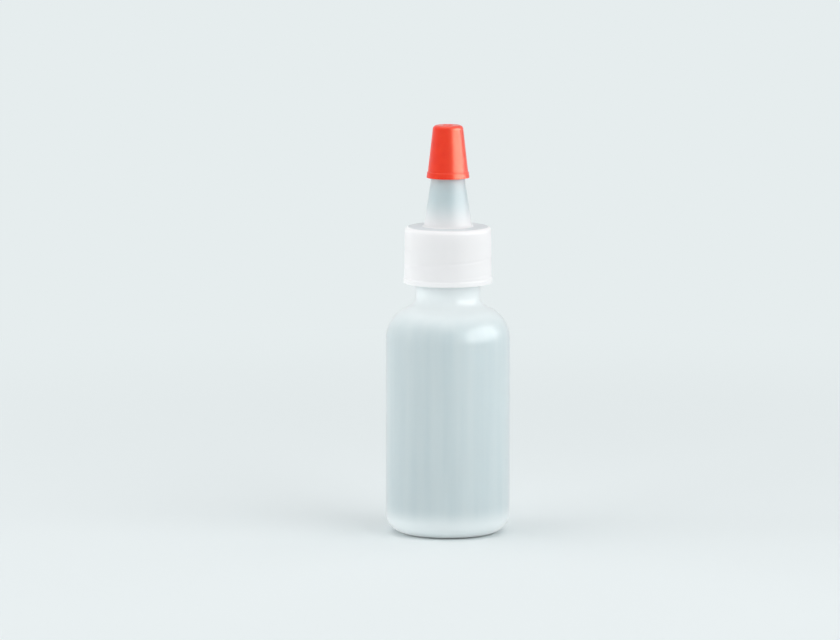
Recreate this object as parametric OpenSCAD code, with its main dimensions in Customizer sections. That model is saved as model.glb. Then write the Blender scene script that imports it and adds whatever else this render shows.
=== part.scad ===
// Squeeze bottle for eye drops, with a screw-on spout and a push-on tip cap.
// The bottle stands on the XY plane, its axis is Z, and everything is in millimetres.

/* [Bottle body] */

// Outer diameter of the barrel
body_d = 33; // [28:0.5:44]
// Height at which the straight barrel ends and the shoulder begins
barrel_top = 51.8; // [30:0.1:80]
// Radius of the curve from the barrel into the shoulder
shoulder_r = 9; // [4:0.1:14]
// Slope of the upper shoulder against the horizontal, in degrees
shoulder_slope = 27; // [10:1:40]
// Radius of the hollow curve from the shoulder into the neck
neck_blend_r = 3.4; // [1:0.1:5]
// How far the rounded heel reaches inwards
heel_w = 5.7; // [3:0.1:8]
// Height of the rounded heel
heel_h = 5.1; // [3:0.1:8]
// Wall thickness of the barrel and the shoulder
body_wall = 1; // [0.6:0.1:1.8]
// Thickness of the base
base_wall = 1.2; // [0.8:0.1:2.5]
// How far the middle of the base is pushed up
push_up = 1.3; // [0.4:0.1:3]
// Width of the flat ring that the bottle stands on
foot_w = 1.4; // [0.6:0.1:3]

/* [Bottle neck] */

// Outer diameter of the neck, at the root of its thread
neck_d = 17.1; // [14:0.1:19]
// Height of the straight neck, from the end of the blend to the mouth
neck_h = 16; // [13:0.1:24]
// Wall thickness of the neck
neck_wall = 1.4; // [0.8:0.1:2.2]
// Bevel on the outer edge of the mouth
mouth_bevel = 0.3; // [0.1:0.05:0.6]

/* [Screw thread] */

// Rise of the thread in one turn
thread_pitch = 4.23; // [3:0.01:6]
// Number of turns of the thread
thread_turns = 1.5; // [1:0.05:1.8]
// How far a thread stands out from its wall
thread_depth = 1.1; // [0.6:0.05:1.4]
// Width of a thread at its crest
thread_crest_w = 0.8; // [0.3:0.05:1]
// Width of a thread at its root
thread_root_w = 2; // [1.2:0.05:2.2]
// Distance from the mouth down to the upper end of the neck's thread
thread_drop = 1.9; // [1.5:0.1:3]
// Gap between a thread's crest and the wall that faces it
thread_gap = 0.35; // [0.15:0.05:0.6]
// Gap between the flanks that the closed cap pulls together
thread_play = 0.25; // [0.1:0.05:0.5]
// Angle over which a thread fades out at each end, in degrees
thread_fade = 36; // [12:12:60]

/* [Sealing ring] */

// Thickness of the sealing ring
liner_t = 1; // [0.5:0.1:2]
// Gap between the sealing ring's rim and the skirt
liner_rim_gap = 0.45; // [0.2:0.05:0.8]
// How far the ring's hole stands back from the spout's bore
liner_hole_step = 0.2; // [0:0.05:0.6]

/* [Spout cap] */

// Height of the closure from the lower edge of its skirt to its flat top
cap_h = 15; // [12:0.1:20]
// Thickness of the flat top
cap_top_t = 1.4; // [0.8:0.1:2.5]
// Wall thickness of the skirt at its lower end, above the bead
skirt_wall = 1.58; // [1:0.02:2.5]
// How much the skirt's outside narrows towards the top, on the radius
skirt_draft = 0.1; // [0:0.02:0.3]
// Radius of the rounded edge round the flat top
cap_edge_r = 1.2; // [0.4:0.1:2]
// How far the bead at the skirt's lower edge stands out
bead_out = 0.21; // [0.1:0.01:0.5]
// Height of that bead
bead_h = 1.4; // [0.8:0.1:3]
// Lead-in bevel inside the skirt's lower edge
lead_in = 0.4; // [0.1:0.05:0.6]

/* [Spout] */

// Outer diameter of the spout where it leaves the flat top
spout_d = 12.54; // [10:0.1:15]
// Outer diameter of the spout at its end
spout_tip_d = 5.1; // [4:0.1:7]
// Height of the spout above the flat top
spout_h = 25.7; // [18:0.1:40]
// Wall thickness of the spout
spout_wall = 1.2; // [0.8:0.1:1.6]
// Radius of the small hollow where the spout meets the flat top
spout_foot_r = 0.8; // [0.3:0.1:1.5]
// Radius of the rounded rim round the orifice
spout_rim_r = 0.5; // [0.2:0.05:0.9]
// Diameter of the orifice
orifice_d = 0.9; // [0.4:0.05:1.6]
// Length of the orifice
orifice_l = 2.2; // [1:0.1:4]

/* [Tip cap] */

// Height of the tip cap
tip_cap_h = 13.9; // [10:0.1:17]
// Thickness of the tip cap's closed end
tip_cap_top_t = 1; // [0.6:0.1:2]
// Wall thickness of the tip cap
tip_cap_wall = 1.06; // [0.6:0.02:1.6]
// Gap between the tip cap's mouth and the spout
tip_cap_play = 0.05; // [0.03:0.01:0.1]
// Gap round the end of the spout, inside the tip cap
tip_cap_ease = 0.55; // [0.1:0.05:1]
// Gap between the end of the spout and the tip cap's closed end
tip_cap_gap = 0.2; // [0.1:0.05:0.6]
// How far the lip at the mouth stands out
lip_out = 0.2; // [0.1:0.05:0.6]
// Height of that lip
lip_h = 1.6; // [0.8:0.1:3]
// Radius of the rounded edge of the closed end
tip_cap_edge_r = 1.1; // [0.4:0.1:1.6]

/* [Hidden] */

$fn = 96;
arc_steps = 10;
edge_steps = 6;
thread_step = 12;
thread_sink = 0.3;
small_edge = 0.25;
milky = "#dfe9ea";
milky_white = "#f1eff1";
foam_white = "#f6f5f0";
tip_red = "#f23a1c";

body_r = body_d / 2;
neck_r = neck_d / 2;
neck_bore_r = neck_r - neck_wall;
foot_outer_r = body_r - heel_w;
foot_inner_r = foot_outer_r - foot_w;

// The shoulder's curve is kept small enough to leave a short straight slope before the neck's blend.
slope_run_min = 0.3;
shoulder_share = 1 - sin(shoulder_slope);
shoulder_room = (body_r - neck_r - slope_run_min) / shoulder_share - neck_blend_r;
shoulder_used_r = min(shoulder_r, shoulder_room);
shoulder_end_x = body_r - shoulder_used_r * shoulder_share;
shoulder_end_z = barrel_top + shoulder_used_r * cos(shoulder_slope);
blend_x = neck_r + neck_blend_r;
blend_start_x = blend_x - neck_blend_r * sin(shoulder_slope);
blend_start_z = shoulder_end_z + (shoulder_end_x - blend_start_x) * tan(shoulder_slope);
neck_base_z = blend_start_z + neck_blend_r * cos(shoulder_slope);
mouth_z = neck_base_z + neck_h;

thread_crest_r = neck_r + thread_depth;
skirt_bore_r = thread_crest_r + thread_gap;
neck_thread_z = mouth_z - thread_drop;
thread_flank = (thread_root_w - thread_crest_w) / (2 * thread_depth);
cap_thread_drop = (thread_root_w + thread_crest_w) / 2 - thread_flank * thread_gap + thread_play;

liner_top_z = mouth_z + liner_t;
cap_top_z = liner_top_z + cap_top_t;
cap_low_z = cap_top_z - cap_h;
skirt_r = skirt_bore_r + skirt_wall;
skirt_top_r = skirt_r - skirt_draft;
bead_r = skirt_r + bead_out;

spout_r = spout_d / 2;
spout_tip_r = spout_tip_d / 2;
spout_tip_z = cap_top_z + spout_h;
spout_slope = (spout_r - spout_tip_r) / spout_h;
spout_bore_r = spout_radius(liner_top_z) - spout_wall;
orifice_r = orifice_d / 2;
orifice_z = spout_tip_z - orifice_l;
spout_bore_end_r = spout_radius(orifice_z) - spout_wall;
spout_bore_end_z = orifice_z - (spout_bore_end_r - orifice_r);

tip_cap_ceiling_z = spout_tip_z + tip_cap_gap;
tip_cap_top_z = tip_cap_ceiling_z + tip_cap_top_t;
tip_cap_low_z = tip_cap_top_z - tip_cap_h;
tip_cap_mouth_r = spout_radius(tip_cap_low_z) + tip_cap_play;
tip_cap_end_r = spout_tip_r + tip_cap_ease;
tip_cap_slope = (tip_cap_mouth_r - tip_cap_end_r) / (tip_cap_ceiling_z - tip_cap_low_z);

liner_r = skirt_bore_r - liner_rim_gap;
liner_hole_r = spout_bore_r + liner_hole_step;

// Outer radius of the spout's cone at height z.
function spout_radius(z) = spout_r - (z - cap_top_z) * spout_slope;

// Outer radius of the tip cap's wall at height z.
function tip_cap_radius(z) = tip_cap_mouth_r + tip_cap_wall - (z - tip_cap_low_z) * tip_cap_slope;

// Points along part of an ellipse, from angle a to angle b in degrees.
function arc(x, z, rx, rz, a, b, steps) =
    [for (i = [0:steps]) let (t = a + (b - a) * i / steps) [x + rx * cos(t), z + rz * sin(t)]];

// Points of the low dome under a base, from its rim at radius r to the axis, with its crown at height h.
function dome(r, h, z) =
    let (ball = (r * r + h * h) / (2 * h), rim = asin(r / ball))
    [for (i = [0:arc_steps]) let (t = rim * (1 - i / arc_steps)) [ball * sin(t), z + h - ball * (1 - cos(t))]];

function flipped(points) = [for (i = [len(points) - 1:-1:0]) points[i]];

// Share of a thread's full depth at turn angle t, so that it fades out at both ends.
function thread_share(t, sweep) = min(1, t / thread_fade, (sweep - t) / thread_fade);

// The four corners of a thread's section at turn angle t: two at its root, sunk in the wall, and two at its crest.
function thread_section(t, sweep, top_z, wall_r, side) =
    let (
        share = thread_share(t, sweep),
        z = top_z - (sweep - t) / 360 * thread_pitch,
        crest_r = wall_r + side * (thread_depth * share - thread_sink / 2 * (1 - share)),
        root_r = wall_r - side * thread_sink,
        root_half = thread_root_w / 2 + thread_flank * thread_sink,
        crest_half = thread_crest_w / 2
    )
    [for (p = [[root_r, -root_half], [crest_r, -crest_half], [crest_r, crest_half], [root_r, root_half]])
        [p[0] * cos(t), p[0] * sin(t), z + p[1]]];

// A right-hand thread whose centre line ends at height top_z. It stands out of a wall of radius wall_r,
// outwards where side is 1 and inwards where side is -1.
module thread(top_z, wall_r, side) {
    sweep = thread_turns * 360;
    count = ceil(sweep / thread_step);
    points = [for (i = [0:count]) each thread_section(sweep * i / count, sweep, top_z, wall_r, side)];
    sides = [for (i = [0:count - 1], k = [0:3]) let (a = 4 * i + k, b = 4 * i + (k + 1) % 4)
        each [[a, b, b + 4], [a, b + 4, a + 4]]];
    last = 4 * count;
    ends = [[2, 1, 0], [3, 2, 0], [last, last + 1, last + 2], [last, last + 2, last + 3]];
    faces = concat(sides, ends);
    polyhedron(points, side < 0 ? [for (f = faces) [f[0], f[2], f[1]]] : faces);
}

function bottle_outside() = concat(
    flipped(dome(foot_inner_r, push_up, 0)),
    arc(foot_outer_r, heel_h, heel_w, heel_h, -90, 0, arc_steps),
    arc(body_r - shoulder_used_r, barrel_top, shoulder_used_r, shoulder_used_r, 0, 90 - shoulder_slope, arc_steps),
    arc(blend_x, neck_base_z, neck_blend_r, neck_blend_r, 270 - shoulder_slope, 180, edge_steps),
    [[neck_r, mouth_z - mouth_bevel], [neck_r - mouth_bevel, mouth_z]]
);

function bottle_inside() = concat(
    flipped(dome(foot_inner_r, push_up, base_wall)),
    arc(foot_outer_r, heel_h, heel_w - body_wall, heel_h - base_wall, -90, 0, arc_steps),
    arc(body_r - shoulder_used_r, barrel_top, shoulder_used_r - body_wall, shoulder_used_r - body_wall,
        0, 90 - shoulder_slope, arc_steps),
    arc(blend_x, neck_base_z, neck_blend_r + neck_wall, neck_blend_r + neck_wall,
        270 - shoulder_slope, 180, edge_steps),
    [[neck_bore_r, mouth_z]]
);

// The blow-moulded bottle: one wall from the pushed-up base to the threaded neck.
module bottle() {
    color(milky) {
        rotate_extrude() polygon(concat(bottle_outside(), flipped(bottle_inside())));
        thread(neck_thread_z, neck_r, 1);
    }
}

// The flat ring that the cap presses on the bottle's mouth.
module cap_liner() {
    color(foam_white)
        translate([0, 0, mouth_z])
            difference() {
                cylinder(h = liner_t, r = liner_r);
                translate([0, 0, -liner_t])
                    cylinder(h = 3 * liner_t, r = liner_hole_r);
            }
}

function skirt_outside() = concat(
    [[skirt_bore_r, cap_low_z + lead_in], [skirt_bore_r + lead_in, cap_low_z]],
    arc(bead_r - small_edge, cap_low_z + small_edge, small_edge, small_edge, -90, 0, edge_steps),
    [[bead_r, cap_low_z + bead_h - bead_out], [skirt_r, cap_low_z + bead_h]],
    arc(skirt_top_r - cap_edge_r, cap_top_z - cap_edge_r, cap_edge_r, cap_edge_r, 0, 90, edge_steps)
);

function spout_outside() = concat(
    arc(spout_r + spout_foot_r, cap_top_z + spout_foot_r, spout_foot_r, spout_foot_r, 270, 180 + atan(spout_slope), edge_steps),
    arc(spout_tip_r - spout_rim_r, spout_tip_z - spout_rim_r, spout_rim_r, spout_rim_r, 0, 90, edge_steps)
);

function cap_inside() = [
    [orifice_r, spout_tip_z],
    [orifice_r, orifice_z],
    [spout_bore_end_r, spout_bore_end_z],
    [spout_bore_r, liner_top_z],
    [skirt_bore_r, liner_top_z]
];

// The screw closure: skirt, flat top and spout in one moulding, with a thread inside the skirt.
module spout_cap() {
    color(milky_white) {
        rotate_extrude() polygon(concat(skirt_outside(), spout_outside(), cap_inside()));
        thread(neck_thread_z - cap_thread_drop, skirt_bore_r, -1);
    }
}

function tip_cap_outside() = concat(
    arc(tip_cap_radius(tip_cap_low_z) + lip_out - small_edge, tip_cap_low_z + small_edge,
        small_edge, small_edge, -90, 0, edge_steps),
    [
        [tip_cap_radius(tip_cap_low_z + lip_h) + lip_out, tip_cap_low_z + lip_h - lip_out],
        [tip_cap_radius(tip_cap_low_z + lip_h), tip_cap_low_z + lip_h]
    ],
    arc(tip_cap_radius(tip_cap_top_z) - tip_cap_edge_r, tip_cap_top_z - tip_cap_edge_r,
        tip_cap_edge_r, tip_cap_edge_r, 0, 90, edge_steps)
);

// The push-on cap that closes the spout.
module tip_cap() {
    color(tip_red)
        rotate_extrude()
            polygon(concat(
                [[tip_cap_mouth_r, tip_cap_low_z]],
                tip_cap_outside(),
                [[0, tip_cap_top_z], [0, tip_cap_ceiling_z], [tip_cap_end_r, tip_cap_ceiling_z]]
            ));
}

bottle();
cap_liner();
spout_cap();
tip_cap();
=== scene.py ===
"""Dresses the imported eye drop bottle.

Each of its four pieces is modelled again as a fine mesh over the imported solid: the same
axis, the same sizes, and the soft edges, mould lines and screw threads that the eye looks for.
Lengths are in metres. One that is written in millimetres is a number times MM.
"""

import logging
import math
from collections.abc import Callable, Mapping, Sequence
from dataclasses import dataclass
from enum import Enum

import bmesh
import bpy
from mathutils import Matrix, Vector


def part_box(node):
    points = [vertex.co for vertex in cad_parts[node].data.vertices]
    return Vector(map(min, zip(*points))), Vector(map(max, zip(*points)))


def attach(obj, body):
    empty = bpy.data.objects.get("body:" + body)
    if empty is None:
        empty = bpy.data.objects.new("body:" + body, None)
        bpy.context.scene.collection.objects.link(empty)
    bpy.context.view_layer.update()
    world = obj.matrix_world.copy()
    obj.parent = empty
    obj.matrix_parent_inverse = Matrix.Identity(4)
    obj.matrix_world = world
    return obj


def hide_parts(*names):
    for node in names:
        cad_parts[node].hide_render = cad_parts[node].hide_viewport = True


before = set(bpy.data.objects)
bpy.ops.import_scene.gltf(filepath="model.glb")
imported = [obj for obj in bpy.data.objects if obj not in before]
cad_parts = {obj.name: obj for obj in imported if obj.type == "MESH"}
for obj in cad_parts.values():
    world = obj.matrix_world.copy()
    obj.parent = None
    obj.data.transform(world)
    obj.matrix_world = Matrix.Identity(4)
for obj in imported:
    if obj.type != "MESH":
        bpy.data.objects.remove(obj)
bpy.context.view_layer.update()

LOG = logging.getLogger("eye_drop_bottle")
MM = 0.001
AXIS_POINT = (0.0, 0.0, 0.0)

SPIN_STEPS = 160
EDGE_SEGMENTS = 3
MERGE_DISTANCE = 0.0005 * MM
PLANE_DISTANCE = 4 * MERGE_DISTANCE
SHARP_ANGLE = math.radians(30)

# What a 20 mm screw finish measures.
THREAD_PITCH = 4.23 * MM
THREAD_TURNS = 1.5

Point = tuple[float, float]
Colour = tuple[float, float, float, float]
Tree = bpy.types.NodeTree
Socket = bpy.types.NodeSocket


class Body(Enum):
    """The bodies that the pieces move with."""

    BOTTLE = "bottle"
    SEALING_RING = "sealing_ring"
    SPOUT_CAP = "spout_cap"
    TIP_CAP = "tip_cap"


class Slot(Enum):
    """The record's material slots."""

    BOTTLE = "bottle_plastic"
    LINER = "liner_foam"
    SPOUT_CAP = "spout_cap_plastic"
    TIP_CAP = "tip_cap_plastic"


class Facing(Enum):
    """The way that a thread stands out of its wall."""

    OUTWARDS = 1
    INWARDS = -1


class Part(Enum):
    """The kinds of part that can be selected in edit mode."""

    VERTEX = "VERT"
    EDGE = "EDGE"


def arc(centre: Point, radii: Point, start: float, end: float, steps: int) -> list[Point]:
    """Gives points along part of an ellipse.

    Args:
        centre: Radius and height of the ellipse's centre.
        radii: Half of its width and half of its height.
        start: Angle of the first point in degrees, from the direction away from the axis.
        end: Angle of the last point in degrees.
        steps: Number of steps between the two.

    Returns:
        The points, each a radius and a height.
    """
    angles = [math.radians(start + (end - start) * i / steps) for i in range(steps + 1)]
    return [(centre[0] + radii[0] * math.cos(a), centre[1] + radii[1] * math.sin(a)) for a in angles]


def ball_radius(rim_r: float, rise: float) -> float:
    """Radius of the ball that a low dome with this rim and rise is a part of."""
    return (rim_r**2 + rise**2) / (2 * rise)


def dome(rim_r: float, rise: float, rim_z: float, steps: int) -> list[Point]:
    """Gives points from the crown of a low dome down to its rim.

    Args:
        rim_r: Radius of the rim.
        rise: Height of the crown above the rim.
        rim_z: Height of the rim.
        steps: Number of steps between the two.

    Returns:
        The points, each a radius and a height.
    """
    ball_r = ball_radius(rim_r, rise)
    rim_angle = math.degrees(math.asin(rim_r / ball_r))
    return arc((0, rim_z + rise - ball_r), (ball_r, ball_r), 90, 90 - rim_angle, steps)


def start_alone() -> None:
    """Leaves nothing selected, so that the next operator acts on its own shape only."""
    bpy.ops.object.select_all(action="DESELECT")


def focus(shape: bpy.types.Object) -> None:
    """Makes one shape the only selected and the active one."""
    start_alone()
    shape.select_set(True)
    bpy.context.view_layer.objects.active = shape


def select_parts(shape: bpy.types.Object, part: Part, wanted: Callable[[bmesh.types.BMVert], bool]) -> None:
    """Selects the vertices that a test wants, or the edges whose ends it wants both.

    Args:
        shape: The object in edit mode.
        part: What to select.
        wanted: Says of a vertex whether it is wanted.
    """
    bpy.ops.mesh.select_mode(type=part.value)
    bpy.ops.mesh.select_all(action="DESELECT")
    mesh = bmesh.from_edit_mesh(shape.data)
    mesh.normal_update()
    if part is Part.VERTEX:
        chosen = [v for v in mesh.verts if wanted(v)]
    else:
        chosen = [e for e in mesh.edges if wanted(e.verts[0]) and wanted(e.verts[1])]
    for item in chosen:
        item.select_set(True)
    mesh.select_flush_mode()
    bmesh.update_edit_mesh(shape.data)


class Pen:
    """Draws an outline in the XZ plane by extruding one vertex from point to point."""

    def __init__(self, name: str, start: Point) -> None:
        """Puts down the first vertex.

        Args:
            name: The name of the shape.
            start: Radius and height of the first point.
        """
        start_alone()
        bpy.ops.mesh.primitive_plane_add(size=MM)
        self.shape = bpy.context.object
        self.shape.name = name
        self.place = start
        bpy.ops.object.mode_set(mode="EDIT")
        bpy.ops.mesh.select_mode(type="VERT")
        bpy.ops.mesh.merge(type="CENTER")
        bpy.ops.transform.translate(value=(start[0], 0, start[1]))

    def follow(self, points: Sequence[Point]) -> None:
        """Extrudes the line through more points.

        Args:
            points: Radius and height of each.
        """
        for point in points:
            step = (point[0] - self.place[0], 0, point[1] - self.place[1])
            if math.hypot(*step) > MERGE_DISTANCE:
                bpy.ops.mesh.extrude_region_move(TRANSFORM_OT_translate={"value": step})
                self.place = point

    def fill(self) -> bpy.types.Object:
        """Closes the outline with a face.

        Returns:
            The shape, still in edit mode, with the face selected.
        """
        bpy.ops.mesh.select_all(action="SELECT")
        bpy.ops.mesh.edge_face_add()
        return self.shape

    def spin(self) -> bpy.types.Object:
        """Spins the line round the Z axis into a closed shape with its faces outwards.

        Returns:
            The shape, in object mode.
        """
        bpy.ops.mesh.select_all(action="SELECT")
        bpy.ops.mesh.spin(steps=SPIN_STEPS, angle=2 * math.pi, center=AXIS_POINT, axis=(0, 0, 1))
        bpy.ops.object.mode_set(mode="OBJECT")
        close_up(self.shape)
        return self.shape


def close_up(shape: bpy.types.Object) -> None:
    """Merges doubles, turns the faces outwards and smooths all but the sharp edges."""
    focus(shape)
    bpy.ops.object.mode_set(mode="EDIT")
    bpy.ops.mesh.select_all(action="SELECT")
    bpy.ops.mesh.remove_doubles(threshold=MERGE_DISTANCE)
    bpy.ops.mesh.normals_make_consistent(inside=False)
    bpy.ops.object.mode_set(mode="OBJECT")
    bpy.ops.object.shade_smooth_by_angle(angle=SHARP_ANGLE)


def finish_with(shape: bpy.types.Object, kind: str, **settings: object) -> None:
    """Adds one modifier to a shape and applies it.

    Args:
        shape: The object that gets it.
        kind: The modifier's type.
        **settings: The modifier's properties.
    """
    focus(shape)
    modifier = shape.modifiers.new(kind.lower(), kind)
    for name, value in settings.items():
        setattr(modifier, name, value)
    bpy.ops.object.modifier_apply(modifier=modifier.name)


def soften(shape: bpy.types.Object, width: float) -> None:
    """Rounds every sharp edge of a shape a little, as a mould does."""
    sharp = {"limit_method": "ANGLE", "angle_limit": SHARP_ANGLE}
    finish_with(shape, "BEVEL", width=width, segments=EDGE_SEGMENTS, **sharp)


def unite(shape: bpy.types.Object, other: bpy.types.Object) -> None:
    """Fuses a second shape into the first, so that no wall is left between them."""
    finish_with(shape, "BOOLEAN", operation="UNION", solver="EXACT", object=other)
    bpy.data.objects.remove(other)


@dataclass(frozen=True)
class ThreadRidge:
    """A right-hand screw thread, swept ring by ring up the wall that it stands on."""

    wall_r: float
    top_z: float
    facing: Facing
    pitch: float = THREAD_PITCH
    turns: float = THREAD_TURNS
    depth: float = 1.1 * MM
    crest_w: float = 0.8 * MM
    root_w: float = 2.0 * MM
    sunk: float = 0.3 * MM
    fade: float = math.radians(36)
    ring_step: float = math.radians(4.5)
    edge_r: float = 0.22 * MM

    @property
    def sweep(self) -> float:
        """The whole angle that the thread turns through."""
        return self.turns * 2 * math.pi

    @property
    def root_r(self) -> float:
        """Radius of the root, sunk in the wall."""
        return self.wall_r - self.facing.value * self.sunk

    def height(self, turned: float) -> float:
        """Height of the crest above its wall, once the thread has turned this far."""
        share = max(0.0, min(1.0, turned / self.fade, (self.sweep - turned) / self.fade))
        eased = share * share * (3 - 2 * share)
        return self.depth * eased - self.sunk / 2 * (1 - eased)

    def build(self) -> bpy.types.Object:
        """Draws the section at the thread's lower end and sweeps it along the helix.

        Returns:
            The ridge as a closed shape, with its root sunk in the wall.
        """
        start_z = self.top_z - self.turns * self.pitch
        crest_r = self.wall_r + self.facing.value * self.depth
        flank = (self.root_w - self.crest_w) / (2 * self.depth)
        root_half = self.root_w / 2 + flank * self.sunk
        crest_half = self.crest_w / 2
        pen = Pen("thread_ridge", (self.root_r, start_z - root_half))
        pen.follow([(crest_r, start_z - crest_half), (crest_r, start_z + crest_half)])
        pen.follow([(self.root_r, start_z + root_half)])
        ridge = pen.fill()
        select_parts(ridge, Part.VERTEX, lambda v: abs(v.co.x - crest_r) < MERGE_DISTANCE)
        bpy.ops.mesh.bevel(offset=self.edge_r, segments=EDGE_SEGMENTS, affect="VERTICES")
        bpy.ops.mesh.select_mode(type="FACE")
        bpy.ops.mesh.select_all(action="SELECT")
        self.raise_crest(ridge, self.height(0) - self.depth)
        rings = round(self.sweep / self.ring_step)
        step = self.sweep / rings
        rise = (0, 0, self.pitch * step / (2 * math.pi))
        for ring in range(rings):
            bpy.ops.mesh.extrude_region_move(TRANSFORM_OT_translate={"value": rise})
            bpy.ops.transform.rotate(value=-step, orient_axis="Z", center_override=AXIS_POINT)
            self.raise_crest(ridge, self.height((ring + 1) * step) - self.height(ring * step))
        bpy.ops.object.mode_set(mode="OBJECT")
        close_up(ridge)
        return ridge

    def raise_crest(self, ridge: bpy.types.Object, rise: float) -> None:
        """Moves the crest of the selected end face away from the wall.

        Args:
            ridge: The ridge in edit mode.
            rise: How far the crest moves. The root stays where it is.
        """
        mesh = bmesh.from_edit_mesh(ridge.data)
        end = next(face for face in mesh.faces if face.select)
        for vert in end.verts:
            radius = vert.co.xy.length
            if abs(radius - self.root_r) > MERGE_DISTANCE:
                vert.co.xy *= (radius + self.facing.value * rise) / radius
        bmesh.update_edit_mesh(ridge.data)


def linear_colour(hex_colour: str) -> Colour:
    """Turns an sRGB hex colour such as #f2f4f1 into the linear colour that a shader takes."""
    parts = [int(hex_colour[i : i + 2], 16) / 255 for i in (1, 3, 5)]
    linear = [p / 12.92 if p <= 0.04045 else ((p + 0.055) / 1.055) ** 2.4 for p in parts]
    return (linear[0], linear[1], linear[2], 1.0)


def add_node(
    tree: Tree, kind: str, inputs: Mapping[str | int, object] | None = None, **settings: object
) -> bpy.types.Node:
    """Adds one node with its settings and links.

    Args:
        tree: The node tree that gets it.
        kind: The node's type.
        inputs: A value, or the output socket to link, for each input by name or number.
        **settings: The node's own properties.

    Returns:
        The node.
    """
    node = tree.nodes.new(kind)
    for name, value in settings.items():
        setattr(node, name, value)
    for key, value in (inputs or {}).items():
        if isinstance(value, Socket):
            tree.links.new(value, node.inputs[key])
        else:
            node.inputs[key].default_value = value
    return node


# The colour sockets of a Mix node, which has others of the same name.
MIX_FIRST = 6
MIX_SECOND = 7
MIX_RESULT = 2

# A noise mostly stays between these two values, so a finish is spread over the span between them.
NOISE_RANGE = {"From Min": 0.3, "From Max": 0.7}


@dataclass(frozen=True)
class Finish:
    """What every finish has: its name, its refraction, and the patterns that finishes share."""

    name: str
    ior: float

    def material(self) -> bpy.types.Material:
        """Makes the material.

        Returns:
            The material, with one Principled shader.
        """
        made = bpy.data.materials.new(self.name)
        made.use_nodes = True
        tree = made.node_tree
        tree.nodes.clear()
        surface = {"IOR": self.ior, **self.surface(tree)}
        shader = add_node(tree, "ShaderNodeBsdfPrincipled", surface)
        add_node(tree, "ShaderNodeOutputMaterial", {"Surface": shader.outputs[0]})
        return made

    def surface(self, tree: Tree) -> dict[str, object]:
        """Gives what the finish sets on its shader.

        Args:
            tree: The material's node tree, to add patterns to.

        Returns:
            A value or a socket for each input by name.
        """
        raise NotImplementedError

    def blotches(self, tree: Tree, width: float, stretch: float = 1.0) -> Socket:
        """Draws soft blotches of a real size on the object.

        Args:
            tree: The material's node tree.
            width: Real width of one blotch.
            stretch: How many times longer than wide it is, along Z.

        Returns:
            The pattern, from 0 to 1.
        """
        place = add_node(tree, "ShaderNodeTexCoord").outputs["Object"]
        drawn = add_node(tree, "ShaderNodeMapping", {"Vector": place, "Scale": (1, 1, 1 / stretch)})
        pattern = {"Vector": drawn.outputs[0], "Scale": 1 / width}
        return add_node(tree, "ShaderNodeTexNoise", pattern).outputs["Fac"]

    def rise(self, tree: Tree, none_z: float, full_z: float) -> Socket:
        """Gives a value that changes smoothly with height, up or down.

        Args:
            tree: The material's node tree.
            none_z: The height at which it is 0.
            full_z: The height at which it is 1.

        Returns:
            The value.
        """
        place = add_node(tree, "ShaderNodeTexCoord").outputs["Object"]
        height = add_node(tree, "ShaderNodeSeparateXYZ", {0: place}).outputs["Z"]
        span = {"Value": height, "From Min": none_z, "From Max": full_z}
        return add_node(tree, "ShaderNodeMapRange", span, interpolation_type="SMOOTHSTEP").outputs[0]


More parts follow.
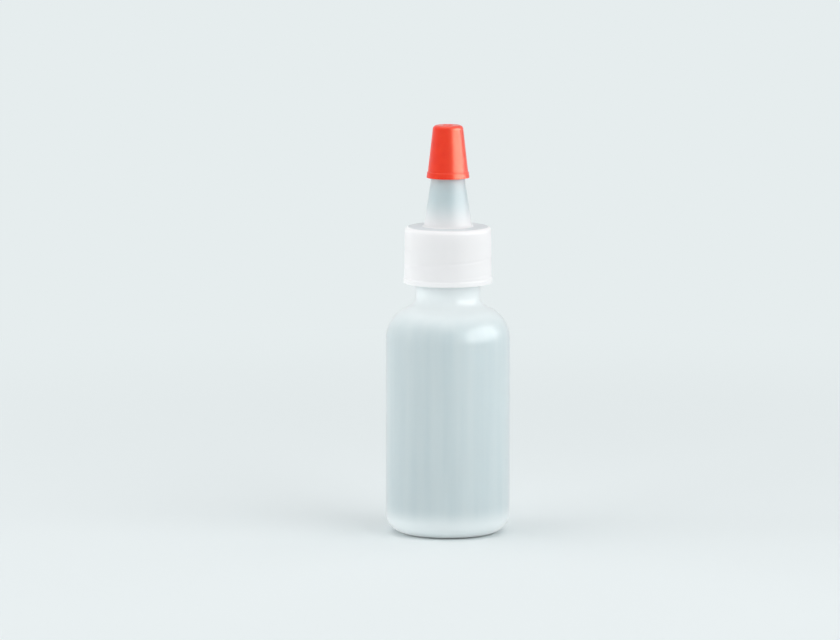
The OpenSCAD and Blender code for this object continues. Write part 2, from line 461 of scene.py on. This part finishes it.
@dataclass(frozen=True)
class NaturalPolyethylene(Finish):
    """Low density polyethylene without pigment, extrusion blow moulded in a blasted mould.

    It is milky. The barrel is drawn thin, so it lets light through and looks cool and a little
    dark, with drawn streaks running up it. The heel, the shoulder and the neck stay thicker and
    look white. Sheen stands for the light that the milky wall scatters towards its outlines.
    """

    name: str = "natural_polyethylene_blown"
    ior: float = 1.51
    clear: str = "#dde9ec"
    streaked: str = "#e5eff1"
    thick: str = "#f2f8f9"
    heel_z: tuple[float, float] = (2.5 * MM, 8.5 * MM)
    shoulder_z: tuple[float, float] = (61.5 * MM, 54 * MM)
    transmission: tuple[float, float] = (0.05, 0.35)
    roughness: tuple[float, float] = (0.42, 0.5)
    body_gloss: float = 0.06
    skin_weight: float = 0.22
    skin_roughness: float = 0.13
    haze_weight: float = 1.0
    haze_roughness: float = 0.35
    streak_w: float = 3 * MM
    streak_stretch: float = 20.0
    cloud_w: float = 15 * MM
    wave_depth: float = 0.04 * MM
    # The blast grain of the mould is about 0.1 mm wide. It is drawn coarser, so that it shows.
    grain_w: float = 0.6 * MM
    grain_depth: float = 0.003 * MM

    def surface(self, tree: Tree) -> dict[str, object]:
        """Gives what the finish sets on its shader.

        Args:
            tree: The material's node tree, to add patterns to.

        Returns:
            A value or a socket for each input by name.
        """
        clouds = self.blotches(tree, self.cloud_w)
        wave = {"Height": clouds, "Distance": self.wave_depth}
        waves = add_node(tree, "ShaderNodeBump", wave).outputs[0]
        pits = {"Height": self.blotches(tree, self.grain_w), "Distance": self.grain_depth, "Normal": waves}
        ends = {0: self.rise(tree, *self.heel_z), 1: self.rise(tree, *self.shoulder_z)}
        thin = add_node(tree, "ShaderNodeMath", ends, operation="MULTIPLY").outputs[0]
        streaks = {"Value": self.blotches(tree, self.streak_w, self.streak_stretch), **NOISE_RANGE}
        streaked = {
            "Factor": add_node(tree, "ShaderNodeMapRange", streaks).outputs[0],
            MIX_FIRST: linear_colour(self.clear),
            MIX_SECOND: linear_colour(self.streaked),
        }
        drawn = add_node(tree, "ShaderNodeMix", streaked, data_type="RGBA").outputs[MIX_RESULT]
        colour = {"Factor": thin, MIX_FIRST: linear_colour(self.thick), MIX_SECOND: drawn}
        rough = {"Value": clouds, **NOISE_RANGE, "To Min": self.roughness[0], "To Max": self.roughness[1]}
        through = {"Value": thin, "To Min": self.transmission[0], "To Max": self.transmission[1]}
        return {
            "Base Color": add_node(tree, "ShaderNodeMix", colour, data_type="RGBA").outputs[MIX_RESULT],
            "Roughness": add_node(tree, "ShaderNodeMapRange", rough).outputs[0],
            "Normal": add_node(tree, "ShaderNodeBump", pits).outputs[0],
            "Transmission Weight": add_node(tree, "ShaderNodeMapRange", through).outputs[0],
            "Specular IOR Level": self.body_gloss,
            "Coat Weight": self.skin_weight,
            "Coat Roughness": self.skin_roughness,
            "Coat IOR": self.ior,
            "Coat Normal": waves,
            "Sheen Weight": self.haze_weight,
            "Sheen Roughness": self.haze_roughness,
        }


@dataclass(frozen=True)
class WhitePolyethylene(Finish):
    """Low density polyethylene, injection moulded with a smooth skin.

    The skirt is thick and backed by the neck, so it looks white. Its flat top is coloured a
    little greyer where it faces up, which is painted shade. The spout's thin wall holds nothing,
    so it looks clearer and cooler. The thread inside leaves faint sink marks outside.
    """

    name: str = "white_polyethylene_moulded"
    ior: float = 1.51
    skirt: str = "#f4f2f3"
    # Painted shade: the flat top's colour, greyer than the skirt.
    roof_painted_shade: str = "#cdd1d5"
    spout: str = "#d6e3e6"
    roof_shade_faces: tuple[float, float] = (0.9, 0.99)
    spout_z: tuple[float, float] = (81 * MM, 90 * MM)
    transmission: tuple[float, float] = (0.06, 0.3)
    roughness: tuple[float, float] = (0.36, 0.44)
    scatter: float = 1.6 * MM
    body_gloss: float = 0.11
    skin_weight: float = 0.1
    skin_roughness: float = 0.28
    haze_weight: float = 0.3
    haze_roughness: float = 0.3
    mark_top_z: float = 76.09 * MM
    mark_share: float = 0.16
    mark_fade: float = 1 * MM
    mark_depth: float = 0.05 * MM
    cloud_w: float = 6 * MM
    grain_w: float = 0.5 * MM
    grain_depth: float = 0.002 * MM

    def sink_marks(self, tree: Tree) -> Socket:
        """Draws the helix of the inner thread as a shallow hollow.

        Args:
            tree: The material's node tree.

        Returns:
            The relief, 0 on the wall and 1 at the middle of a mark.
        """
        place = add_node(tree, "ShaderNodeTexCoord").outputs["Object"]
        split = add_node(tree, "ShaderNodeSeparateXYZ", {0: place}).outputs
        beside = {0: split["Y"], 1: split["X"]}
        angle = add_node(tree, "ShaderNodeMath", beside, operation="ARCTAN2").outputs[0]
        turns = {0: angle, 1: -1 / (2 * math.pi)}
        turned = add_node(tree, "ShaderNodeMath", turns, operation="MULTIPLY").outputs[0]
        start_z = self.mark_top_z - THREAD_TURNS * THREAD_PITCH
        climb = {"Value": split["Z"], "From Min": start_z, "From Max": start_z + THREAD_PITCH}
        climbed = add_node(tree, "ShaderNodeMapRange", climb, clamp=False).outputs[0]
        phase = add_node(tree, "ShaderNodeMath", {0: climbed, 1: turned}, operation="ADD").outputs[0]
        away = add_node(tree, "ShaderNodeMath", {0: phase, 1: 0.5}, operation="PINGPONG").outputs[0]
        mark = {"Value": away, "From Max": self.mark_share, "To Min": 1.0, "To Max": 0.0}
        marks = add_node(tree, "ShaderNodeMapRange", mark, interpolation_type="SMOOTHSTEP").outputs[0]
        ends = {
            0: self.rise(tree, start_z - self.mark_fade, start_z),
            1: self.rise(tree, self.mark_top_z + self.mark_fade, self.mark_top_z),
        }
        threaded = add_node(tree, "ShaderNodeMath", ends, operation="MULTIPLY").outputs[0]
        return add_node(tree, "ShaderNodeMath", {0: marks, 1: threaded}, operation="MULTIPLY").outputs[0]

    def surface(self, tree: Tree) -> dict[str, object]:
        """Gives what the finish sets on its shader.

        Args:
            tree: The material's node tree, to add patterns to.

        Returns:
            A value or a socket for each input by name.
        """
        mark = {"Height": self.sink_marks(tree), "Distance": -self.mark_depth}
        marks = add_node(tree, "ShaderNodeBump", mark).outputs[0]
        grain = {"Height": self.blotches(tree, self.grain_w), "Distance": self.grain_depth, "Normal": marks}
        # Painted shade: where the surface faces up on the object, on the flat top, the colour is mixed
        # towards the top's greyer colour.
        facing = add_node(tree, "ShaderNodeTexCoord").outputs["Normal"]
        up = add_node(tree, "ShaderNodeSeparateXYZ", {0: facing}).outputs["Z"]
        level = {"Value": up, "From Min": self.roof_shade_faces[0], "From Max": self.roof_shade_faces[1]}
        cap = {
            "Factor": add_node(tree, "ShaderNodeMapRange", level).outputs[0],
            MIX_FIRST: linear_colour(self.skirt),
            MIX_SECOND: linear_colour(self.roof_painted_shade),
        }
        white = add_node(tree, "ShaderNodeMix", cap, data_type="RGBA").outputs[MIX_RESULT]
        upper = self.rise(tree, *self.spout_z)
        colour = {"Factor": upper, MIX_FIRST: white, MIX_SECOND: linear_colour(self.spout)}
        clouds = self.blotches(tree, self.cloud_w)
        rough = {"Value": clouds, **NOISE_RANGE, "To Min": self.roughness[0], "To Max": self.roughness[1]}
        through = {"Value": upper, "To Min": self.transmission[0], "To Max": self.transmission[1]}
        return {
            "Base Color": add_node(tree, "ShaderNodeMix", colour, data_type="RGBA").outputs[MIX_RESULT],
            "Roughness": add_node(tree, "ShaderNodeMapRange", rough).outputs[0],
            "Normal": add_node(tree, "ShaderNodeBump", grain).outputs[0],
            "Transmission Weight": add_node(tree, "ShaderNodeMapRange", through).outputs[0],
            "Subsurface Weight": 1.0,
            "Subsurface Radius": (self.scatter, self.scatter, self.scatter),
            "Subsurface Scale": 1.0,
            "Specular IOR Level": self.body_gloss,
            "Coat Weight": self.skin_weight,
            "Coat Roughness": self.skin_roughness,
            "Coat IOR": self.ior,
            "Coat Normal": marks,
            "Sheen Weight": self.haze_weight,
            "Sheen Roughness": self.haze_roughness,
        }


@dataclass(frozen=True)
class RedPolyethylene(Finish):
    """Polyethylene with an orange-red pigment, injection moulded in a polished mould.

    It is glossy and deep in colour, a little light goes into its thin edges, and the softbox
    shows on it as a broad pale stripe. Fine drag marks from the mould run up it.
    """

    name: str = "red_polyethylene_moulded"
    ior: float = 1.51
    deep: str = "#ea1a00"
    bright: str = "#f02a03"
    gloss: str = "#ffb088"
    roughness: tuple[float, float] = (0.36, 0.42)
    scatter: float = 0.5 * MM
    scatter_shares: tuple[float, float, float] = (1, 1 / 3, 1 / 6)
    body_gloss: float = 1.0
    skin_weight: float = 0.3
    skin_roughness: float = 0.28
    cloud_w: float = 3 * MM
    drag_w: float = 0.5 * MM
    drag_stretch: float = 16.0
    drag_depth: float = 0.002 * MM

    def surface(self, tree: Tree) -> dict[str, object]:
        """Gives what the finish sets on its shader.

        Args:
            tree: The material's node tree, to add patterns to.

        Returns:
            A value or a socket for each input by name.
        """
        clouds = {"Value": self.blotches(tree, self.cloud_w), **NOISE_RANGE}
        colour = {
            "Factor": add_node(tree, "ShaderNodeMapRange", clouds).outputs[0],
            MIX_FIRST: linear_colour(self.deep),
            MIX_SECOND: linear_colour(self.bright),
        }
        drag = self.blotches(tree, self.drag_w, self.drag_stretch)
        rough = {"Value": drag, **NOISE_RANGE, "To Min": self.roughness[0], "To Max": self.roughness[1]}
        marks = {"Height": drag, "Distance": self.drag_depth}
        relief = add_node(tree, "ShaderNodeBump", marks).outputs[0]
        return {
            "Base Color": add_node(tree, "ShaderNodeMix", colour, data_type="RGBA").outputs[MIX_RESULT],
            "Roughness": add_node(tree, "ShaderNodeMapRange", rough).outputs[0],
            "Normal": relief,
            "Specular IOR Level": self.body_gloss,
            "Specular Tint": linear_colour(self.gloss),
            "Subsurface Weight": 1.0,
            "Subsurface Radius": tuple(self.scatter * share for share in self.scatter_shares),
            "Subsurface Scale": 1.0,
            "Coat Weight": self.skin_weight,
            "Coat Roughness": self.skin_roughness,
            "Coat IOR": self.ior,
            "Coat Normal": relief,
        }


@dataclass(frozen=True)
class ClosedCellFoam(Finish):
    """Expanded polyethylene cut from sheet, soft and dull, with small closed cells that show as pits,
    painted darker as shade.
    """

    name: str = "closed_cell_polyethylene_foam"
    ior: float = 1.45
    wall: str = "#f6f5f0"
    pit_painted_shade: str = "#e6e4dc"
    roughness: float = 0.8
    cell_w: float = 0.35 * MM
    cell_depth: float = 0.05 * MM

    def surface(self, tree: Tree) -> dict[str, object]:
        """Gives what the finish sets on its shader.

        Args:
            tree: The material's node tree, to add patterns to.

        Returns:
            A value or a socket for each input by name.
        """
        place = add_node(tree, "ShaderNodeTexCoord").outputs["Object"]
        pattern = {"Vector": place, "Scale": 1 / self.cell_w}
        cells = add_node(tree, "ShaderNodeTexVoronoi", pattern).outputs["Distance"]
        # Painted shade: the colour is darker at the middle of each cell, where the bump sinks into a pit.
        colour = {"Factor": cells, MIX_FIRST: linear_colour(self.pit_painted_shade), MIX_SECOND: linear_colour(self.wall)}
        relief = {"Height": cells, "Distance": self.cell_depth}
        return {
            "Base Color": add_node(tree, "ShaderNodeMix", colour, data_type="RGBA").outputs[MIX_RESULT],
            "Roughness": self.roughness,
            "Normal": add_node(tree, "ShaderNodeBump", relief).outputs[0],
        }


@dataclass(frozen=True)
class Piece:
    """One piece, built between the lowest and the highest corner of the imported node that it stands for."""

    low: Vector
    high: Vector

    def dress(self, shape: bpy.types.Object, finish: Finish, node: str, body: Body, slot: Slot) -> None:
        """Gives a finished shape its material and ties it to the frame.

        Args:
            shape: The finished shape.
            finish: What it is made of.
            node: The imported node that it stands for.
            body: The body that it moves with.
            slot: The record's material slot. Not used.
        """
        shape.data.materials.append(finish.material())
        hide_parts(node)
        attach(shape, body.value)
        LOG.info("%s stands for %s: %d faces", shape.name, node, len(shape.data.polygons))


@dataclass(frozen=True)
class SqueezeBottle(Piece):
    """The blow-moulded bottle: barrel, domed shoulder, threaded neck and pushed-up base."""

    barrel_top: float = 51.8 * MM
    shoulder_r: float = 9 * MM
    shoulder_slope: float = 27.0
    blend_r: float = 3.4 * MM
    heel_w: float = 5.7 * MM
    heel_h: float = 5.1 * MM
    wall: float = 1.0 * MM
    base_wall: float = 1.2 * MM
    push_up: float = 1.3 * MM
    foot_w: float = 1.4 * MM
    neck_r: float = 8.55 * MM
    neck_wall: float = 1.4 * MM
    thread_drop: float = 1.9 * MM
    soft_edge: float = 0.18 * MM
    seam_turn: float = math.radians(11.25)
    seam_w: float = 0.14 * MM
    seam_out: float = 0.035 * MM
    seam_low_z: float = 1.7 * MM
    seam_stop: float = 1.0 * MM
    seam_segments: int = 2
    weld_l: float = 15 * MM
    weld_w: float = 0.5 * MM
    weld_h: float = 0.22 * MM
    weld_lengths: int = 12
    heel_steps: int = 18
    shoulder_steps: int = 22
    blend_steps: int = 14
    dome_steps: int = 14

    @property
    def body_r(self) -> float:
        """Radius of the barrel."""
        return self.high.x

    @property
    def foot_r(self) -> float:
        """Outer radius of the ring that the bottle stands on."""
        return self.body_r - self.heel_w

    @property
    def dome_r(self) -> float:
        """Radius of the pushed-up part of the base."""
        return self.foot_r - self.foot_w

    def wall_line(self, depth: float, base: float, neck_depth: float) -> list[Point]:
        """Follows the wall from the foot up to the neck, on a line that lies inside it.

        Args:
            depth: How far the line lies inside the outer surface.
            base: How far it lies above the foot.
            neck_depth: How far it lies inside the neck's outer surface.

        Returns:
            The points, from the foot to the end of the blend into the neck.
        """
        slope = math.radians(self.shoulder_slope)
        shoulder_x = self.body_r - self.shoulder_r
        blend_x = self.neck_r + self.blend_r
        slope_start = (
            shoulder_x + self.shoulder_r * math.sin(slope),
            self.barrel_top + self.shoulder_r * math.cos(slope),
        )
        slope_end_x = blend_x - self.blend_r * math.sin(slope)
        slope_end_z = slope_start[1] + (slope_start[0] - slope_end_x) * math.tan(slope)
        blend_z = slope_end_z + self.blend_r * math.cos(slope)
        heel = (self.heel_w - depth, self.heel_h - base)
        shoulder = (self.shoulder_r - depth, self.shoulder_r - depth)
        blend = (self.blend_r + neck_depth, self.blend_r + neck_depth)
        turn = self.shoulder_slope
        return [
            *arc((self.foot_r, self.heel_h), heel, -90, 0, self.heel_steps),
            *arc((shoulder_x, self.barrel_top), shoulder, 0, 90 - turn, self.shoulder_steps),
            *arc((blend_x, blend_z), blend, 270 - turn, 180, self.blend_steps),
        ]

    def build(self) -> bpy.types.Object:
        """Spins the wall, raises the mould's seam, and adds the weld and the thread.

        Returns:
            The finished shape.
        """
        mouth_z = self.high.z
        pen = Pen("bottle_shell", (0, self.push_up))
        pen.follow(dome(self.dome_r, self.push_up, 0, self.dome_steps))
        pen.follow(self.wall_line(0, 0, 0))
        pen.follow([(self.neck_r, mouth_z - self.seam_stop), (self.neck_r, mouth_z)])
        pen.follow([(self.neck_r - self.neck_wall, mouth_z)])
        pen.follow(self.wall_line(self.wall, self.base_wall, self.neck_wall)[::-1])
        pen.follow(dome(self.dome_r, self.push_up, self.base_wall, self.dome_steps)[::-1])
        shell = pen.spin()
        soften(shell, self.soft_edge)
        self.raise_seam(shell)
        unite(shell, self.weld())
        thread = ThreadRidge(self.neck_r, mouth_z - self.thread_drop, Facing.OUTWARDS)
        unite(shell, thread.build())
        close_up(shell)
        return shell

    def raise_seam(self, shell: bpy.types.Object) -> None:
        """Raises the fine line where the two halves of the mould met, up both sides.

        Args:
            shell: The spun bottle.
        """
        side = Vector((math.cos(self.seam_turn), math.sin(self.seam_turn), 0))
        across = Vector((-side.y, side.x, 0))

        def on_seam(vert: bmesh.types.BMVert) -> bool:
            """True for an outer vertex on the mould's parting plane, from the heel to below the mouth."""
            outside = vert.normal.xy.dot(vert.co.xy) > 0
            between = self.seam_low_z < vert.co.z < self.high.z - self.seam_stop / 2
            return abs(vert.co.dot(across)) < PLANE_DISTANCE and outside and between

        focus(shell)
        bpy.ops.object.mode_set(mode="EDIT")
        select_parts(shell, Part.EDGE, on_seam)
        bpy.ops.mesh.bevel(offset=self.seam_w, segments=self.seam_segments, affect="EDGES")
        select_parts(shell, Part.VERTEX, on_seam)
        bpy.ops.transform.shrink_fatten(value=self.seam_out)
        bpy.ops.object.mode_set(mode="OBJECT")

    def weld(self) -> bpy.types.Object:
        """Makes the low ridge under the base, where the mould pinched the plastic shut.

        Returns:
            The ridge, bent to the base's dome, with its upper side sunk in it.
        """
        start_alone()
        bpy.ops.mesh.primitive_cube_add(size=1)
        bar = bpy.context.object
        bar.name = "pinch_weld"
        bpy.ops.object.mode_set(mode="EDIT")
        size = (self.weld_l, self.weld_w, 2 * self.weld_h)
        bpy.ops.transform.resize(value=size, center_override=AXIS_POINT)
        bpy.ops.mesh.select_all(action="SELECT")
        bpy.ops.mesh.bevel(offset=self.weld_h / 2, segments=EDGE_SEGMENTS, affect="EDGES")
        for cut in range(1, self.weld_lengths):
            place = (self.weld_l * (cut / self.weld_lengths - 0.5), 0, 0)
            bpy.ops.mesh.select_all(action="SELECT")
            bpy.ops.mesh.bisect(plane_co=place, plane_no=(1, 0, 0))
        bpy.ops.object.mode_set(mode="OBJECT")
        ball_r = ball_radius(self.dome_r, self.push_up)
        for vert in bar.data.vertices:
            vert.co.z += self.push_up - ball_r + math.sqrt(ball_r**2 - vert.co.x**2)
        focus(bar)
        bar.rotation_euler.z = self.seam_turn
        bpy.ops.object.transform_apply(location=False, rotation=True, scale=False)
        return bar


@dataclass(frozen=True)
class SealingRing(Piece):
    """The foam ring that the cap presses on the bottle's mouth."""

    hole_r: float = 5.473 * MM
    soft_edge: float = 0.2 * MM

    def build(self) -> bpy.types.Object:
        """Spins the ring's section.

        Returns:
            The finished shape.
        """
        rim_r = self.high.x
        start = (self.hole_r, self.low.z)
        pen = Pen("sealing_ring_foam", start)
        pen.follow([(rim_r, self.low.z), (rim_r, self.high.z), (self.hole_r, self.high.z), start])
        ring = pen.spin()
        soften(ring, self.soft_edge)
        close_up(ring)
        return ring


@dataclass(frozen=True)
class SpoutCap(Piece):
    """The screw closure: a smooth skirt, a flat top and the long tapered spout in one moulding."""

    cap_h: float = 15 * MM
    liner_z: float = 80.4495 * MM
    bore_r: float = 10.0 * MM
    skirt_r: float = 11.58 * MM
    draft: float = 0.1 * MM
    edge_r: float = 1.2 * MM
    bead_h: float = 1.4 * MM
    lead_in: float = 0.4 * MM
    spout_r: float = 6.27 * MM
    tip_r: float = 2.55 * MM
    spout_wall: float = 1.2 * MM
    foot_fillet: float = 0.8 * MM
    rim_r: float = 0.5 * MM
    orifice_r: float = 0.45 * MM
    orifice_l: float = 2.2 * MM
    thread_top_z: float = 76.0905 * MM
    soft_edge: float = 0.14 * MM
    edge_steps: int = 12
    fillet_steps: int = 8
    rim_steps: int = 8

    @property
    def top_z(self) -> float:
        """Height of the flat top."""
        return self.low.z + self.cap_h

    @property
    def slope(self) -> float:
        """How much the spout narrows for each metre of height."""
        return (self.spout_r - self.tip_r) / (self.high.z - self.top_z)

    def cone_r(self, z: float) -> float:
        """Outer radius of the spout at height z."""
        return self.spout_r - (z - self.top_z) * self.slope

    def build(self) -> bpy.types.Object:
        """Spins the closure's section and adds the thread inside the skirt.

        Returns:
            The finished shape.
        """
        bead_r = self.high.x
        top = (self.skirt_r - self.draft - self.edge_r, self.top_z - self.edge_r)
        foot = (self.spout_r + self.foot_fillet, self.top_z + self.foot_fillet)
        end_angle = 180 + math.degrees(math.atan(self.slope))
        rim = (self.tip_r - self.rim_r, self.high.z - self.rim_r)
        orifice_z = self.high.z - self.orifice_l
        bore_end_r = self.cone_r(orifice_z) - self.spout_wall
        bore_foot_r = self.cone_r(self.liner_z) - self.spout_wall
        start = (self.bore_r, self.low.z + self.lead_in)
        pen = Pen("spout_cap_shell", start)
        pen.follow([(self.bore_r + self.lead_in, self.low.z), (bead_r, self.low.z)])
        pen.follow([(bead_r, self.low.z + self.bead_h - (bead_r - self.skirt_r))])
        pen.follow([(self.skirt_r, self.low.z + self.bead_h)])
        pen.follow(arc(top, (self.edge_r, self.edge_r), 0, 90, self.edge_steps))
        pen.follow(arc(foot, (self.foot_fillet, self.foot_fillet), 270, end_angle, self.fillet_steps))
        pen.follow(arc(rim, (self.rim_r, self.rim_r), 0, 90, self.rim_steps))
        pen.follow([(self.orifice_r, self.high.z), (self.orifice_r, orifice_z)])
        pen.follow([(bore_end_r, orifice_z - (bore_end_r - self.orifice_r))])
        pen.follow([(bore_foot_r, self.liner_z), (self.bore_r, self.liner_z), start])
        shell = pen.spin()
        soften(shell, self.soft_edge)
        thread = ThreadRidge(self.bore_r, self.thread_top_z, Facing.INWARDS)
        unite(shell, thread.build())
        close_up(shell)
        return shell


@dataclass(frozen=True)
class TipCap(Piece):
    """The red cap that is pushed over the end of the spout."""

    ceiling_drop: float = 1.0 * MM
    wall: float = 1.06 * MM
    mouth_r: float = 4.438 * MM
    end_r: float = 3.1 * MM
    edge_r: float = 1.1 * MM
    lip_h: float = 1.6 * MM
    lip_out: float = 0.2 * MM
    gate_r: float = 0.55 * MM
    gate_h: float = 0.12 * MM
    dimple_r: float = 1.4 * MM
    dimple_depth: float = 0.15 * MM
    soft_edge: float = 0.12 * MM
    edge_steps: int = 14

    def wall_r(self, z: float) -> float:
        """Outer radius of the wall at height z."""
        inner_h = self.high.z - self.ceiling_drop - self.low.z
        return self.mouth_r + self.wall - (z - self.low.z) * (self.mouth_r - self.end_r) / inner_h

    def build(self) -> bpy.types.Object:
        """Spins the cap's section.

        Returns:
            The finished shape.
        """
        ceiling_z = self.high.z - self.ceiling_drop
        dimple_z = self.high.z - self.dimple_depth
        gate_z = dimple_z + self.gate_h
        lip_z = self.low.z + self.lip_h
        lip_r = self.high.x
        top = (self.wall_r(self.high.z) - self.edge_r, self.high.z - self.edge_r)
        pen = Pen("tip_cap_shell", (0, ceiling_z))
        pen.follow([(self.end_r, ceiling_z), (self.mouth_r, self.low.z), (lip_r, self.low.z)])
        pen.follow([(self.wall_r(lip_z) + self.lip_out, lip_z - self.lip_out), (self.wall_r(lip_z), lip_z)])
        pen.follow(arc(top, (self.edge_r, self.edge_r), 0, 90, self.edge_steps))
        pen.follow([(self.dimple_r, self.high.z), (self.dimple_r - self.dimple_depth, dimple_z)])
        pen.follow([(self.gate_r, dimple_z), (self.gate_r, gate_z), (0, gate_z)])
        shell = pen.spin()
        soften(shell, self.soft_edge)
        close_up(shell)
        return shell


class Light(Enum):
    """What a lamp's light is for: everything, matt light alone, or its reflection alone."""

    ALL = "all"
    MATT = "matt"
    GLOSS = "gloss"


@dataclass(frozen=True)
class Softbox:
    """A plain soft lamp, placed round the object by its azimuth from the camera."""

    name: str
    light: Light
    azimuth: float
    distance: float
    low_z: float
    high_z: float
    width: float
    brightness: float

    def place(self) -> None:
        """Adds the lamp: upright and facing the axis, or overhead where its two heights are the same."""
        start_alone()
        turn = math.radians(self.azimuth)
        overhead = self.low_z == self.high_z
        middle_z = (self.low_z + self.high_z) / 2
        place = (self.distance * math.sin(turn), -self.distance * math.cos(turn), middle_z)
        tall = self.width if overhead else self.high_z - self.low_z
        tilt = 0 if overhead else math.pi / 2
        bpy.ops.object.light_add(type="AREA", location=place, rotation=(tilt, 0, turn))
        lamp = bpy.context.object
        lamp.name = self.name
        lamp.data.shape = "RECTANGLE"
        lamp.data.size = self.width
        lamp.data.size_y = tall
        # Power is spread over the lamp's area and half a sphere, so this gives its face the brightness.
        lamp.data.energy = self.brightness * math.pi * self.width * tall
        lamp.visible_camera = False
        lamp.visible_diffuse = self.light is not Light.GLOSS
        lamp.visible_transmission = self.light is not Light.GLOSS
        lamp.visible_glossy = self.light is not Light.MATT


@dataclass(frozen=True)
class Studio:
    """The pale floor, the lamps and the even light of the room."""

    floor: str = "#e6ebec"
    room: str = "#e6edee"
    room_light: float = 0.3
    room_shown: float = 1.0
    floor_r: float = 8.0
    floor_sides: int = 96
    floor_roughness: float = 0.8
    floor_gloss: float = 0.0
    floor_fades: tuple[float, float] = (0.08, 0.4)
    # Each lamp's numbers: azimuth in degrees, distance, lowest and highest point, width, brightness.
    lamps: tuple[Softbox, ...] = (
        Softbox("key_softbox", Light.MATT, 52, 0.62, 0.05, 0.8, 0.75, 1.7),
        Softbox("key_reflection", Light.GLOSS, 71, 0.62, 0.11, 0.6, 0.9, 10.0),
        Softbox("fill_softbox", Light.MATT, -64, 0.7, 0.02, 0.6, 0.75, 1.5),
        Softbox("left_rim_softbox", Light.MATT, -104, 0.7, 0.02, 0.42, 0.75, 1.8),
        Softbox("right_rim_softbox", Light.MATT, 112, 0.7, 0.02, 0.42, 0.75, 1.0),
        Softbox("rear_softbox", Light.MATT, 190, 0.8, 0.05, 0.7, 0.8, 0.3),
        Softbox("top_softbox", Light.ALL, 0, 0.0, 1.2, 1.2, 1.4, 1.25),
    )

    def build(self) -> None:
        """Lays the floor and lights it."""
        self.lay_floor()
        self.light_room()
        for lamp in self.lamps:
            lamp.place()

    def lay_floor(self) -> None:
        """Adds the floor. Away from the object it fades into the room, for the rays that show the room."""
        start_alone()
        bpy.ops.mesh.primitive_circle_add(
            vertices=self.floor_sides, radius=self.floor_r, fill_type="NGON", location=AXIS_POINT
        )
        floor = bpy.context.object
        floor.name = "pale_floor"
        made = bpy.data.materials.new("pale_matt_floor")
        made.use_nodes = True
        tree = made.node_tree
        tree.nodes.clear()
        surface = {
            "Base Color": linear_colour(self.floor),
            "Roughness": self.floor_roughness,
            "Specular IOR Level": self.floor_gloss,
        }
        matt = add_node(tree, "ShaderNodeBsdfPrincipled", surface).outputs[0]
        place = add_node(tree, "ShaderNodeTexCoord").outputs["Object"]
        away = add_node(tree, "ShaderNodeVectorMath", {0: place}, operation="LENGTH").outputs["Value"]
        span = {"Value": away, "From Min": self.floor_fades[0], "From Max": self.floor_fades[1]}
        faded = add_node(tree, "ShaderNodeMapRange", span, interpolation_type="SMOOTHSTEP").outputs[0]
        seen = self.shown_rays(tree)
        gone = add_node(tree, "ShaderNodeMath", {0: faded, 1: seen}, operation="MULTIPLY").outputs[0]
        shown = {"Color": linear_colour(self.room), "Strength": self.room_shown}
        pale = add_node(tree, "ShaderNodeEmission", shown).outputs[0]
        mixed = add_node(tree, "ShaderNodeMixShader", {0: gone, 1: matt, 2: pale})
        add_node(tree, "ShaderNodeOutputMaterial", {"Surface": mixed.outputs[0]})
        # The room that the floor shows is there to be seen, so the floor isn't sampled as a lamp.
        made.cycles.emission_sampling = "NONE"
        floor.data.materials.append(made)

    def light_room(self) -> None:
        """Lights everything evenly, and shows the room at full strength to the rays that show it."""
        room = bpy.data.worlds.new("room")
        bpy.context.scene.world = room
        room.use_nodes = True
        tree = room.node_tree
        tree.nodes.clear()
        seen = self.shown_rays(tree)
        pale = linear_colour(self.room)
        even, shown = (
            add_node(tree, "ShaderNodeBackground", {"Color": pale, "Strength": strength}).outputs[0]
            for strength in (self.room_light, self.room_shown)
        )
        mixed = add_node(tree, "ShaderNodeMixShader", {0: seen, 1: even, 2: shown})
        add_node(tree, "ShaderNodeOutputWorld", {"Surface": mixed.outputs[0]})

    def shown_rays(self, tree: Tree) -> Socket:
        """Marks the rays that show the room as pale as it looks.

        Args:
            tree: The node tree to add to.

        Returns:
            1 for camera rays, gloss and what goes through clear plastic, and 0 for matt light.
        """
        path = add_node(tree, "ShaderNodeLightPath").outputs
        straight = {0: path["Is Camera Ray"], 1: path["Is Transmission Ray"]}
        through = add_node(tree, "ShaderNodeMath", straight, operation="MAXIMUM").outputs[0]
        mirrored = {0: through, 1: path["Is Glossy Ray"]}
        return add_node(tree, "ShaderNodeMath", mirrored, operation="MAXIMUM").outputs[0]


@dataclass(frozen=True)
class PhotoCamera:
    """The camera at the photograph's viewing angle."""

    distance: float = 1.6
    height: float = 0.273
    aim_height: float = 56.79 * MM
    aside: float = -7.4 * MM
    focal_px: float = 6086.0
    frame_w_px: int = 840
    sensor_mm: float = 36.0

    def place(self) -> None:
        """Adds the camera and makes it the scene's own."""
        start_alone()
        pitch = math.atan2(self.height - self.aim_height, self.distance)
        place = (self.aside, -self.distance, self.height)
        bpy.ops.object.camera_add(location=place, rotation=(math.pi / 2 - pitch, 0, 0))
        camera = bpy.context.object
        camera.data.sensor_width = self.sensor_mm
        camera.data.lens = self.focal_px * self.sensor_mm / self.frame_w_px
        camera.data.dof.use_dof = False
        bpy.context.scene.camera = camera


def main() -> None:
    """Builds the stage and the four pieces."""
    logging.basicConfig(level=logging.INFO, format="%(message)s")
    bpy.context.scene.view_settings.view_transform = "Standard"
    PhotoCamera().place()
    Studio().build()
    bottle = SqueezeBottle(*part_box("bottle"))
    bottle.dress(bottle.build(), NaturalPolyethylene(), "bottle", Body.BOTTLE, Slot.BOTTLE)
    ring = SealingRing(*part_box("cap_liner"))
    ring.dress(ring.build(), ClosedCellFoam(), "cap_liner", Body.SEALING_RING, Slot.LINER)
    spout = SpoutCap(*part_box("spout_cap"))
    spout.dress(spout.build(), WhitePolyethylene(), "spout_cap", Body.SPOUT_CAP, Slot.SPOUT_CAP)
    tip = TipCap(*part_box("tip_cap"))
    tip.dress(tip.build(), RedPolyethylene(), "tip_cap", Body.TIP_CAP, Slot.TIP_CAP)


if __name__ == "__main__":
    main()
